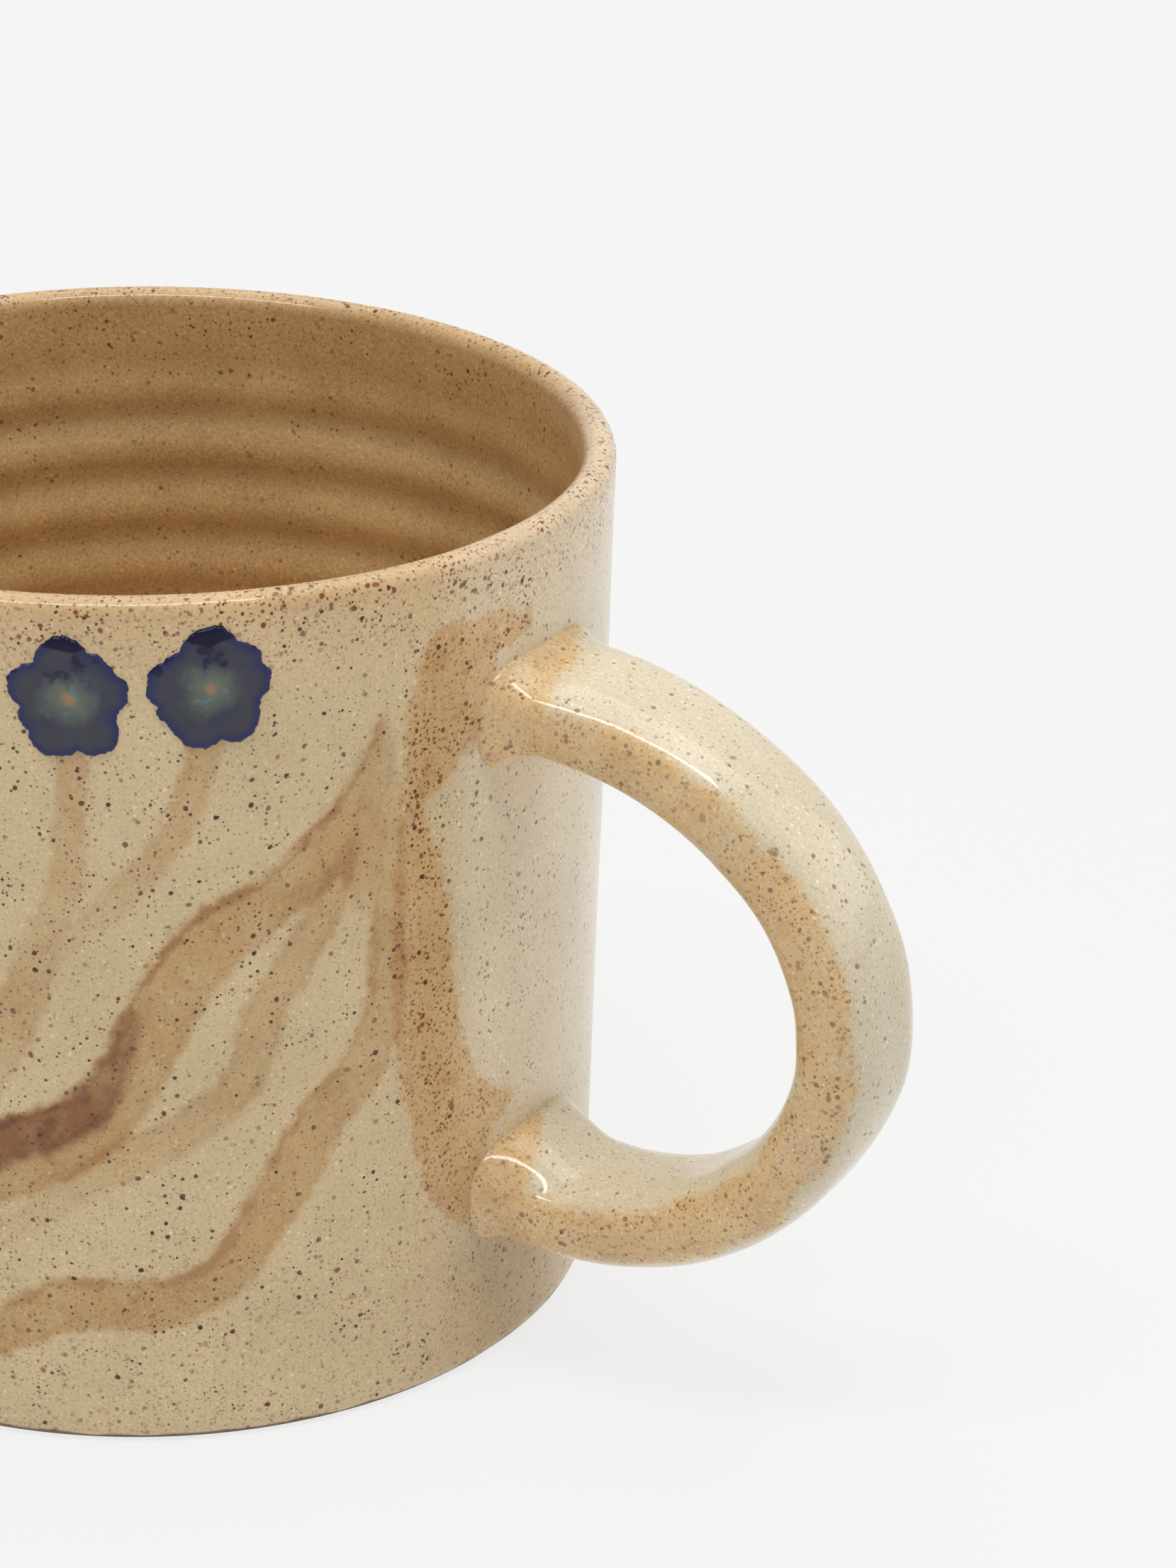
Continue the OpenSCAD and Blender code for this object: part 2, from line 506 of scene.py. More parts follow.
def make_cup(glaze):
    """Throws the cup and paints where each brush stroke lies on it."""
    section = cup_section()
    mesh = bpy.data.meshes.new("section")
    mesh.from_pydata([(x, inner, z) for x, z, inner in section], [], [])
    source = new_object("cup_section", mesh)
    cup = run_geometry_nodes(source, throwing_wheel(), "thrown_cup", {"Rows": len(section), "Glaze": glaze})
    turn_outwards(cup.data)
    paint_cup(cup.data)
    return cup


# ---------------------------------------------------------------------------
# Brush strokes on the wall
# ---------------------------------------------------------------------------
# A stroke is a list of (degrees right of the motif's line, height, half width, strength), the
# height and half width in millimetres and the strength from 0 to 1.
LONG_LEAF = [
    (27.4, 71.0, 0.2, 0.7), (25.6, 65.0, 1.9, 0.85), (21.5, 59.5, 2.9, 0.9), (14.5, 55.0, 2.7, 0.9),
    (7.0, 51.5, 3.3, 0.95), (1.6, 46.0, 3.3, 0.9), (-2.8, 39.0, 3.2, 0.9), (-8.0, 33.3, 3.4, 1.0),
    (-17.0, 29.5, 4.0, 1.0), (-26.0, 25.5, 3.6, 0.9), (-36.0, 19.0, 2.4, 0.7), (-43.0, 11.0, 0.8, 0.4),
]
LOW_LEAF = [
    (27.6, 68.0, 0.8, 0.5), (28.5, 58.0, 1.6, 0.6), (28.3, 50.0, 1.9, 0.75), (28.2, 43.0, 2.2, 0.8),
    (25.5, 36.8, 2.6, 0.75), (19.6, 31.9, 2.7, 0.85), (16.2, 27.2, 2.9, 0.9), (12.6, 22.8, 2.6, 0.95),
    (8.5, 18.0, 2.5, 0.95), (2.0, 15.0, 2.6, 0.95), (-6.0, 14.7, 2.8, 0.95), (-13.0, 14.0, 2.8, 0.9),
    (-20.0, 11.0, 2.4, 0.9), (-30.0, 8.5, 1.8, 0.7), (-40.0, 7.5, 0.8, 0.3),
]
MIDDLE_LEAF = [
    (24.0, 60.0, 0.8, 0.35), (20.3, 53.0, 1.8, 0.6), (15.8, 47.5, 2.0, 0.6), (12.4, 43.0, 2.1, 0.65),
    (11.2, 39.0, 2.1, 0.6), (8.0, 35.3, 2.1, 0.65), (2.0, 32.0, 2.1, 0.55), (-4.5, 29.4, 2.1, 0.5),
    (-11.0, 26.0, 1.6, 0.35), (-18.0, 22.0, 1.4, 0.2), (-26.0, 17.5, 1.0, 0.0),
]
LEFT_STEM = [
    (-8.9, 70.5, 1.5, 0.75), (-9.2, 63.0, 1.5, 0.6), (-10.3, 56.5, 1.6, 0.45), (-13.5, 50.5, 1.8, 0.4),
    (-17.0, 43.0, 2.4, 0.6), (-22.0, 35.0, 1.9, 0.35), (-30.0, 26.0, 1.5, 0.25), (-38.0, 15.0, 0.9, 0.15),
]
RIGHT_STEM = [
    (6.6, 71.5, 1.5, 0.85), (5.2, 67.5, 1.5, 0.8), (3.4, 63.5, 1.5, 0.7), (0.6, 59.8, 1.5, 0.55),
    (-3.5, 56.2, 1.5, 0.4), (-8.5, 52.5, 1.3, 0.3), (-14.0, 48.5, 1.5, 0.2), (-20.0, 42.0, 1.6, 0.1),
]
LEAF_HEAD = [
    (27.6, 69.5, 0.4, 0.6), (26.8, 64.5, 1.8, 0.75), (26.0, 60.0, 2.7, 0.85), (25.4, 56.0, 2.5, 0.75),
    (24.9, 52.6, 0.9, 0.5),
]
MIRRORED_LEAF = [
    (-62.0, 66.0, 0.2, 0.7), (-60.5, 58.0, 2.2, 0.85), (-56.0, 50.0, 3.0, 0.9), (-51.5, 42.0, 3.2, 0.9),
    (-49.0, 33.0, 3.0, 0.9), (-46.0, 24.0, 2.6, 0.85), (-42.0, 14.0, 1.4, 0.6),
]
MIRRORED_LOW_LEAF = [
    (-68.0, 44.0, 0.3, 0.6), (-65.5, 36.0, 1.9, 0.8), (-60.0, 28.5, 2.3, 0.85), (-55.0, 21.0, 2.3, 0.85),
    (-48.0, 14.0, 2.0, 0.7), (-42.0, 9.0, 0.8, 0.4),
]
RED_POOL = [
    (-0.6, 46.5, 0.4, 0.2), (-3.4, 42.0, 1.0, 0.55), (-5.3, 37.8, 1.5, 0.85), (-8.6, 34.6, 2.0, 1.0),
    (-14.0, 32.2, 2.2, 1.0), (-19.5, 30.3, 2.2, 1.0), (-26.0, 27.2, 1.8, 0.8), (-33.0, 22.5, 0.7, 0.3),
]
# Where two dips of glaze overlap the coat is thick and turns golden: a ragged patch on the wall
# between the handle's roots, and a band down the far side.
THICK_PATCH = [
    (51.0, 75.8), (46.0, 77.2), (40.0, 77.3), (35.0, 77.6), (32.6, 75.0), (30.8, 70.5), (30.4, 65.0),
    (29.6, 58.0), (29.1, 51.0), (29.4, 43.0), (30.2, 35.5), (31.8, 29.0), (33.4, 24.0), (36.0, 19.5),
    (42.0, 16.0), (45.0, 21.0), (45.0, 24.6), (48.6, 26.0), (50.0, 27.8), (46.5, 28.8), (42.5, 31.5),
    (40.3, 35.5), (39.0, 40.5), (37.6, 46.0), (36.8, 51.5), (35.6, 55.5), (33.2, 60.5), (37.0, 63.0),
    (42.0, 66.0), (44.5, 70.5), (44.0, 72.8), (50.0, 74.2),
]
FAR_BAND = [
    (206.0, 83.0), (203.0, 70.0), (205.5, 56.0), (202.5, 43.0), (204.0, 30.0), (201.0, 17.0),
    (207.0, 5.0), (213.0, 5.0), (212.5, 18.0), (215.5, 31.0), (213.0, 45.0), (216.0, 58.0),
    (214.0, 71.0), (216.5, 83.0),
]
WALL_MIDDLE_R = 43.4
SPLINE_STEPS = 9


def spline(points):
    """A smooth curve through the listed points (Catmull and Rom's)."""
    p = np.array(points, float)
    p = np.vstack([2 * p[0] - p[1], p, 2 * p[-1] - p[-2]])
    t = np.linspace(0, 1, SPLINE_STEPS, endpoint=False)[:, None]
    pieces = []
    for a, b, c, d in zip(p[:-3], p[1:-2], p[2:-1], p[3:]):
        pieces.append(0.5 * (2 * b + (c - a) * t + (2 * a - 5 * b + 4 * c - d) * t**2
                             + (3 * b - a - 3 * c + d) * t**3))
    return np.vstack(pieces + [p[-2][None]])


def on_sheet(angle, height):
    """Unrolls the wall: degrees and millimetres to millimetres on a flat sheet."""
    return np.stack([np.radians(angle) * WALL_MIDDLE_R, height], -1)


def stroke_field(sheet, stroke):
    """For each point of the unrolled wall: how far it is inside the stroke's edge, in millimetres,
    the stroke's strength there, and which side of its middle line it is on."""
    way = spline(stroke)
    nodes = on_sheet(way[:, 0], way[:, 1])
    widths, strengths = way[:, 2], way[:, 3]
    best = np.full(len(sheet), -1e3)
    strength = np.zeros(len(sheet))
    side = np.zeros(len(sheet))
    for a, b, w0, w1, s0, s1 in zip(nodes, nodes[1:], widths, widths[1:], strengths, strengths[1:]):
        step = b - a
        t = np.clip(((sheet - a) @ step) / (step @ step), 0, 1)
        off = sheet - a - t[:, None] * step
        inside = w0 + (w1 - w0) * t - np.hypot(off[:, 0], off[:, 1])
        closer = inside > best
        best[closer] = inside[closer]
        strength[closer] = (s0 + (s1 - s0) * t)[closer]
        side[closer] = np.sign(step[0] * off[:, 1] - step[1] * off[:, 0])[closer]
    return best, np.clip(strength, 0, 1), side


def patch_field(sheet, outline):
    """How far each point is inside a closed outline, in millimetres, negative outside."""
    way = spline(outline + outline[:1])
    nodes = on_sheet(way[:, 0], way[:, 1])
    nearest = np.full(len(sheet), 1e3)
    inside = np.zeros(len(sheet), bool)
    for a, b in zip(nodes, np.roll(nodes, -1, 0)):
        step = b - a
        if step @ step < 1e-9:
            continue
        t = np.clip(((sheet - a) @ step) / (step @ step), 0, 1)
        off = sheet - a - t[:, None] * step
        nearest = np.minimum(nearest, np.hypot(off[:, 0], off[:, 1]))
        spans = (a[1] > sheet[:, 1]) != (b[1] > sheet[:, 1])
        rise = step[1] if abs(step[1]) > 1e-9 else 1e-9
        inside ^= spans & (sheet[:, 0] < a[0] + step[0] * (sheet[:, 1] - a[1]) / rise)
    return np.where(inside, nearest, -nearest)


def lay_strokes(sheet, strokes):
    """Joins strokes into one layer of wash: edge distance, strength and strength of the edge line."""
    edge = np.full(len(sheet), -20.0)
    strength = np.zeros(len(sheet))
    rim_line = np.zeros(len(sheet))
    for stroke, left_line, right_line in strokes:
        inside, power, side = stroke_field(sheet, stroke)
        on_top = inside > edge
        edge[on_top] = inside[on_top]
        strength[on_top] = power[on_top]
        rim_line[on_top] = (np.where(side > 0, left_line, right_line) * power)[on_top]
    return np.clip(edge, -8, 8), strength, rim_line


def paint_cup(mesh):
    """Stores the washes, the red pool and the thick glaze on the cup's vertices."""
    co = places(mesh)
    angle = (np.degrees(np.arctan2(co[:, 1], co[:, 0])) - MOTIF_ANGLE + 120.0) % 360.0 - 120.0
    sheet = on_sheet(angle, co[:, 2] / MM)
    outside = np.hypot(co[:, 0], co[:, 1]) > outer_r(co[:, 2]) - 1.2 * MM
    # Each stroke has the strengths of the darker line where the wash gathered along its edges,
    # the left and the right one, seen along the stroke.
    layers = {
        "leaf": [(LONG_LEAF, 0.2, 1.0), (LOW_LEAF, 0.1, 0.6), (LEAF_HEAD, 0.2, 0.4),
                 (LEFT_STEM, 0.2, 0.3), (MIRRORED_LEAF, 0.9, 0.3), (MIRRORED_LOW_LEAF, 0.8, 0.3)],
        "shade": [(MIDDLE_LEAF, 0.3, 0.4), (RIGHT_STEM, 0.25, 0.35)],
        "pool": [(RED_POOL, 0.4, 0.1)],
    }
    for name, strokes in layers.items():
        edge, strength, rim_line = lay_strokes(sheet, strokes)
        store(mesh, name + "_edge", np.where(outside, edge, -8.0))
        store(mesh, name + "_strength", strength)
        store(mesh, name + "_line", rim_line)
    thick = np.maximum(patch_field(sheet, THICK_PATCH), patch_field(sheet, FAR_BAND))
    store(mesh, "thick_edge", np.where(outside, np.clip(thick, -8, 8), -8.0))
    # The right-hand side of the wall is painted paler and greyer. It fades out low down and runs over the
    # rim. This is partly the cream glaze beyond the golden patch, and partly painted light from the right
    # with painted sheen near the edge.
    pale = np.clip((angle - 34.0) / 8.0, 0, 1) * np.clip((212.0 - angle) / 5.0, 0, 1)
    pale = pale * (0.6 + 0.4 * np.clip((angle - 50.0) / 30.0, 0, 1))
    pale = pale * np.clip((co[:, 2] / MM - 8.0) / 18.0, 0, 1)
    on_rim = (co[:, 2] > CUP_H - 4.0 * MM) * np.clip((115.0 - angle) / 25.0, 0, 1)
    store(mesh, "pale_and_lit_side", np.where(outside, pale, pale * on_rim))
    # Painted shade low on the wall below the handle, where the handle shades it and less light comes up
    # from the floor.
    handle_shade = np.exp(-((angle - 52.0) / 17.0)**2) * np.clip((26.0 - co[:, 2] / MM) / 14.0, 0, 1)
    store(mesh, "shade_below_handle", np.where(outside, handle_shade, 0.0))
    depth = (outer_r(co[:, 2]) - np.hypot(co[:, 0], co[:, 1]) - 1.8 * MM) / (1.6 * MM)
    store(mesh, "inner_wall", np.clip(depth, 0, 1) * (co[:, 2] > FLOOR_T * 0.5))


# ---------------------------------------------------------------------------
# The handle: a pulled strap, and the slip wiped round its roots
# ---------------------------------------------------------------------------
AROUND_STRAP = 96
STRAP_RINGS = 260
AROUND_COLLAR = 200
COLLAR_STEPS = 28


def strap_path():
    """The four-point curves of the strap's middle line, as (distance from the axis, height)."""
    upper = [
        (outer_r(UPPER_ROOT_Z) - ROOT_DEPTH, UPPER_ROOT_Z + 0.3 * MM), (60.3 * MM, UPPER_ROOT_Z + 1.5 * MM),
        (HANDLE_REACH, BELLY_Z + 17 * MM), (HANDLE_REACH, BELLY_Z),
    ]
    lower = [
        (HANDLE_REACH, BELLY_Z), (HANDLE_REACH, BELLY_Z - 12 * MM),
        (61.5 * MM, LOWER_ROOT_Z - 7.2 * MM), (outer_r(LOWER_ROOT_Z) - ROOT_DEPTH, LOWER_ROOT_Z),
    ]
    return np.array(upper), np.array(lower)


def strap_line():
    """The strap's middle line as a Bezier curve object."""
    upper, lower = strap_path()
    curve = bpy.data.curves.new("strap_line", "CURVE")
    curve.dimensions = "3D"
    curve.resolution_u = 64
    way = curve.splines.new("BEZIER")
    way.bezier_points.add(2)
    knots = [
        (upper[0], upper[0], upper[1]), (upper[3], upper[2], lower[1]), (lower[3], lower[2], lower[3]),
    ]
    for point, (place, before, after) in zip(way.bezier_points, knots):
        point.handle_left_type = point.handle_right_type = "FREE"
        point.co = (place[0], 0, place[1])
        point.handle_left = (before[0], 0, before[1])
        point.handle_right = (after[0], 0, after[1])
    return new_object("strap_line", curve)


def pulled_strap():
    """A geometry tree that sweeps a rounded section along a curve in the plane of the handle."""
    group, given, result = new_group(
        "pulled_strap", "GeometryNodeTree",
        {
            "Line": SHAPE, "Rings": STRAP_RINGS, "Around": AROUND_STRAP, "Middle Width": STRAP_W,
            "Root Width": ROOT_W, "Thickness": STRAP_T, "Section Power": SECTION_POWER,
            "Finger Marks": 0.9 * MM, "Seed": 7.0, "Glaze": FINISH,
        },
        {"Geometry": SHAPE},
    )
    evened = read(group, "GeometryNodeResampleCurve", Curve=given["Line"], Count=given["Rings"])
    # One more row at each end shrinks to a point, which closes the strap inside the wall.
    grid, row, turn = wrapped_grid(given["Rings"] + 2.0, given["Around"])
    last = given["Rings"] - 1.0
    ring = maths("MINIMUM", maths("MAXIMUM", row - 1.0, 0.0), last)
    along = ring / last
    open_row = maths("COMPARE", row - 1.0, ring, 0.1)
    middle = sample(evened, "GeometryNodeInputPosition", ring)
    way = sample(evened, "GeometryNodeInputTangent", ring)
    from_middle = maths("ABSOLUTE", along * 2.0 - 1.0)
    spread = given["Root Width"] - given["Middle Width"]
    width = given["Middle Width"] + from_middle**2.5 * spread
    marks = round_noise(turn, along * 9.0, W=given["Seed"], Scale=0.9, Detail=1.0)
    marks = marks * given["Finger Marks"] * (1.0 - smooth_step(from_middle, 0.6, 0.8))

    def rounded(wave, half):
        swing = maths(wave, turn)
        size = maths("ABSOLUTE", swing) ** (2.0 / given["Section Power"])
        return size * maths("SIGN", swing) * half * open_row

    half_w = width * 0.5 + marks
    out = rounded("COSINE", given["Thickness"] * 0.5 + marks)
    side = rounded("SINE", half_w)
    place = vector(middle[0] - way[2] * out, side, middle[2] + way[0] * out)
    stored = (("strap_side", side / MM), ("strap_half_width", half_w / MM))
    plug(result["Geometry"], glazed_skin(grid, place, stored, given["Glaze"]))
    return group


def make_handle(glaze):
    """Pulls the strap along its line."""
    handle = run_geometry_nodes(strap_line(), pulled_strap(), "strap_handle", {"Glaze": glaze})
    turn_outwards(handle.data)
    return handle


def bezier(p, u):
    """Points on a cubic Bezier curve."""
    return (1 - u)**3 * p[0] + 3 * (1 - u)**2 * u * p[1] + 3 * (1 - u) * u**2 * p[2] + u**3 * p[3]


def length_share(t):
    """The share of the strap's length that lies before t."""
    u = np.linspace(0, 1, 400)[:, None]
    path = np.vstack([bezier(p, u) for p in strap_path()])
    run = np.concatenate([[0.0], np.cumsum(np.linalg.norm(np.diff(path, axis=0), axis=1))])
    steps = np.concatenate([np.linspace(0, 0.5, 400), np.linspace(0.5, 1, 400)])
    return np.interp(t, steps, run / run[-1])


def strap_points(t, turn):
    """Points on the strap's skin: t runs 0 to 1 along the line and turn goes round the section."""
    upper, lower = strap_path()
    lower_half = t >= 0.5
    u = np.where(lower_half, 2 * t - 1, 2 * t)[..., None]
    p = [np.where(lower_half[..., None], b, a) for a, b in zip(upper, lower)]
    middle = bezier(p, u)
    way = (1 - u)**2 * (p[1] - p[0]) + 2 * (1 - u) * u * (p[2] - p[1]) + u**2 * (p[3] - p[2])
    way = way / np.linalg.norm(way, axis=-1, keepdims=True)
    width = STRAP_W + (ROOT_W - STRAP_W) * np.abs(2 * length_share(t) - 1)**2.5
    cosine, sine = np.cos(turn), np.sin(turn)
    power = 2 / SECTION_POWER
    out = np.sign(cosine) * np.abs(cosine)**power * STRAP_T / 2
    side = np.sign(sine) * np.abs(sine)**power * width / 2
    x = middle[..., 0] - way[..., 1] * out
    z = middle[..., 1] + way[..., 0] * out
    return np.stack([x, side, z], -1)


def above_wall(p):
    """Height of points above the cup's outer wall."""
    return np.hypot(p[..., 0], p[..., 1]) - outer_r(p[..., 2])


def onto_wall(p, lift):
    """Moves points along the radius to stand lift above the outer wall."""
    r = np.hypot(p[..., 0], p[..., 1])
    scale = (outer_r(p[..., 2]) + lift) / r
    return np.stack([p[..., 0] * scale, p[..., 1] * scale, p[..., 2]], -1)


def where_strap_stands(turn, lift, upper_end):
    """For each direction round the section, the t at which the strap's skin is lift above the wall."""
    low = np.zeros_like(turn)
    high = np.full_like(turn, 0.2)
    for _ in range(40):
        middle = (low + high) / 2
        t = middle if upper_end else 1 - middle
        too_low = above_wall(strap_points(t, turn)) < lift
        low = np.where(too_low, middle, low)
        high = np.where(too_low, high, middle)
    return (low + high) / 2 if upper_end else 1 - (low + high) / 2


def make_collar(name, upper_end, reach, climb, lump, dragged, seed, glaze):
    """A ring of wiped slip that runs in a hollow curve from the wall up onto the strap.
    reach is how far it spreads on the wall beside, above and below the strap, and climb how far
    it runs out along the strap. lump is the height of a bead of slip left on top, and dragged how
    far a corner was pulled down the wall."""
    turn = np.linspace(0, 2 * math.pi, AROUND_COLLAR, endpoint=False)
    uneven = 1 + 0.16 * slow_noise(turn, seed, 6)
    corner = strap_points(where_strap_stands(turn, 0.0, upper_end), turn)
    topward = np.cos(turn) * (1 if upper_end else -1)

    def all_round(beside, above, below):
        tall = np.where(topward > 0, above, below)
        return np.abs(np.sin(turn))**1.5 * beside + np.abs(np.cos(turn))**1.5 * tall

    # The slip was dragged out furthest at the lower corner of the side that faces the front.
    fan = np.clip(-2 * np.sin(turn), 0, 2) * np.clip(-topward, 0, 1)
    spread = (all_round(*reach) + dragged * fan) * uneven
    along = all_round(*climb) * (1 + 0.12 * slow_noise(turn, seed + 1, 5))
    # The foot of the collar lies on the wall, outwards from the strap's own outline.
    centre = corner.mean(0)
    away = corner - centre
    tangent = np.roll(corner, -1, 0) - np.roll(corner, 1, 0)
    axis = np.array([1.0, 0.0, 0.0])
    normal = np.cross(tangent, axis)
    normal /= np.linalg.norm(normal, axis=1, keepdims=True)
    normal *= np.sign((normal * away).sum(1))[:, None]
    foot = onto_wall(corner + normal * spread[:, None], -0.03 * MM)
    spread = spread[:, None]
    bead = lump * np.clip(topward, 0, 1)[:, None]**2 * (1 + 0.15 * slow_noise(turn, seed + 2, 7))[:, None]
    rows = []
    for k in range(COLLAR_STEPS + 1):
        s = k / COLLAR_STEPS
        skin = strap_points(where_strap_stands(turn, along * s, upper_end), turn)
        thick = spread * (1 - s)**2.4 + bead * 6.75 * s * (1 - s)**2 - 0.03 * MM * s
        rows.append(skin + normal * thick if k else foot)
    strap_end = rows[-1]
    # The hidden back of the ring runs under the strap's skin and under the wall.
    sunk = 0.35 * MM
    inward = centre - strap_end
    inward[:, 0] = 0.0
    inward /= np.linalg.norm(inward, axis=1, keepdims=True)
    rows.append(strap_end + inward * sunk)
    rows.append(onto_wall(corner + (centre - corner) * 0.12, -2 * sunk))
    rows.append(onto_wall(foot, -2 * sunk))
    points = np.vstack(rows)
    count = len(rows)
    faces = []
    for k in range(count):
        for i in range(AROUND_COLLAR):
            j = (i + 1) % AROUND_COLLAR
            a, b = k * AROUND_COLLAR, (k + 1) % count * AROUND_COLLAR
            faces.append((a + i, a + j, b + j, b + i))
    mesh = bpy.data.meshes.new(name)
    mesh.from_pydata(points.tolist(), [], faces)
    mesh.materials.append(glaze)
    turn_outwards(mesh)
    return new_object(name, mesh)


# ---------------------------------------------------------------------------
# The raised blue flowers
# ---------------------------------------------------------------------------
# A flower is round lobes: (direction in degrees, distance out, radius), both in millimetres.
LEFT_LOBES = [
    (100, 3.4, 2.6), (50, 3.0, 2.2), (8, 3.2, 2.2), (-58, 3.8, 2.5), (-108, 3.7, 2.6), (168, 3.2, 2.5),
    (132, 2.6, 2.0), (-146, 3.2, 2.1), (-24, 3.0, 1.9),
]
RIGHT_LOBES = [
    (88, 3.5, 2.7), (38, 3.5, 2.3), (10, 3.5, 2.2), (-52, 3.9, 2.3), (-104, 3.4, 2.6), (172, 3.2, 2.6),
    (135, 2.8, 2.1), (-150, 3.1, 2.1), (-20, 3.2, 1.9),
]
FLOWER_MIDDLE = 3.7
FLOWER_SCALE = 0.94
FLOWER_AROUND = 300
FLOWER_ROWS = 30
GLAZE_T = 0.30


def lobe_field(x, y, lobes):
    """How far a point is inside the flower's outline, in millimetres."""
    x, y = x / FLOWER_SCALE, y / FLOWER_SCALE
    inside = FLOWER_MIDDLE - np.hypot(x, y)
    for direction, distance, radius in lobes:
        a = math.radians(direction)
        reach = np.hypot(x - distance * math.cos(a), y - distance * math.sin(a))
        inside = np.maximum(inside, radius - reach)
    return inside


def flower_outline(turn, lobes, seed):
    """The outline's radius in each direction, with a slightly ragged edge."""
    low = np.zeros_like(turn)
    high = np.full_like(turn, 8.0)
    for _ in range(30):
        middle = (low + high) / 2
        inside = lobe_field(middle * np.cos(turn), middle * np.sin(turn), lobes) > 0
        low = np.where(inside, middle, low)
        high = np.where(inside, high, middle)
    ragged = 0.20 * slow_noise(turn * 5, seed, 9) + 0.11 * slow_noise(turn * 17, seed + 1, 9)
    return (low + high) / 2 + ragged


def make_flower(name, angle, height, lobes, seed, glaze):
    """A blob of thick glaze on the wall, fullest along its upper edge where it gathered."""
    turn = np.linspace(0, 2 * math.pi, FLOWER_AROUND, endpoint=False)
    edge = flower_outline(turn, lobes, seed)
    share = np.linspace(0, 1, FLOWER_ROWS + 1)[1:, None] ** 0.8
    x = np.vstack([[0.0], (share * edge * np.cos(turn)).reshape(-1, 1)]).ravel()
    y = np.vstack([[0.0], (share * edge * np.sin(turn)).reshape(-1, 1)]).ravel()
    rim_gap = np.concatenate([[4.0], ((1 - share) * edge).ravel()])
    rounded = np.sqrt(np.clip(1 - (1 - np.clip(rim_gap / 0.55, 0, 1))**2, 0, 1))
    gather = np.exp(-((y - 4.9) / 1.0)**2) * np.exp(-(x / 2.2)**2)

    def on_wall(rise):
        z = height / MM + y
        r = outer_r(z * MM) / MM + rise
        a = math.radians(angle) + x / WALL_MIDDLE_R
        return np.stack([r * np.cos(a), r * np.sin(a), z], -1) * MM

    front = on_wall(rounded * (GLAZE_T + 0.16 * gather) - 0.02)
    back = on_wall(np.full_like(x, -0.25))
    inner = len(x) - FLOWER_AROUND
    points = np.vstack([front, back[:inner]])
    shift = len(front)

    def index(row, i, behind):
        i %= FLOWER_AROUND
        base = 0 if row == 0 else 1 + (row - 1) * FLOWER_AROUND + i
        return base + shift if behind and row < FLOWER_ROWS else base

    faces = []
    for behind in (False, True):
        for row in range(FLOWER_ROWS):
            for i in range(FLOWER_AROUND):
                a, b = index(row, i, behind), index(row, i + 1, behind)
                c, d = index(row + 1, i + 1, behind), index(row + 1, i, behind)
                corners = (a, c, d) if row == 0 else (a, b, c, d)
                faces.append(corners[::-1] if behind else corners)
    mesh = bpy.data.meshes.new(name)
    mesh.from_pydata(points.tolist(), [], faces)
    mesh.materials.append(glaze)
    store(mesh, "petal_x", np.concatenate([x, x[:inner]]))
    store(mesh, "petal_y", np.concatenate([y, y[:inner]]))
    store(mesh, "petal_edge", np.concatenate([rim_gap, rim_gap[:inner]]))
    turn_outwards(mesh)
    return new_object(name, mesh)


# ---------------------------------------------------------------------------
# Finishes
# ---------------------------------------------------------------------------
def srgb(r, g, b):
    """A screen colour, 0 to 255, as the linear colour that a shader takes."""
    def linear(v):
        v /= 255.0
        return v / 12.92 if v <= 0.04045 else ((v + 0.055) / 1.055) ** 2.4
    return (linear(r), linear(g), linear(b), 1.0)


BUFF = (0.695, 0.535, 0.304, 1.0)
CREAM = (0.70, 0.605, 0.43, 1.0)
# Paler, greyer cream for the right-hand side: partly the glaze's own tone, partly painted light.
PALE_AND_LIT_SIDE = (0.82, 0.72, 0.55, 1.0)
SPECK_DARK = srgb(64, 34, 12)
SPECK_RUST = srgb(128, 62, 16)
BARE_CLAY = srgb(96, 78, 66)
# A tint multiplies the colour under it.
LEAF_TINT = (0.80, 0.65, 0.47, 1.0)
POOL_TINT = (0.50, 0.315, 0.20, 1.0)
THICK_TINT = (0.92, 0.76, 0.58, 1.0)
HANDLE_TINT = (1.03, 0.83, 0.58, 1.0)
RIM_TINT = (1.0, 0.935, 0.87, 1.0)
RIM_TOP_TINT = (0.88, 0.84, 0.80, 1.0)
# Painted shade inside the cup: the inner wall is tinted darker and browner, as it gets less light and that
# light bounces round the hollow.
INSIDE_SHADE_TINT = (0.84, 0.70, 0.54, 1.0)
# Painted shade for the low wall below the handle.
HANDLE_SHADE_TINT = (0.68, 0.60, 0.51, 1.0)
FLOWER_BODY = srgb(70, 70, 80)
FLOWER_EDGE = srgb(38, 44, 98)
FLOWER_DARK = srgb(10, 6, 46)
FLOWER_TEAL = srgb(116, 126, 106)
FLOWER_BRIGHT = srgb(92, 136, 150)
FLOWER_CENTRE = srgb(170, 130, 100)


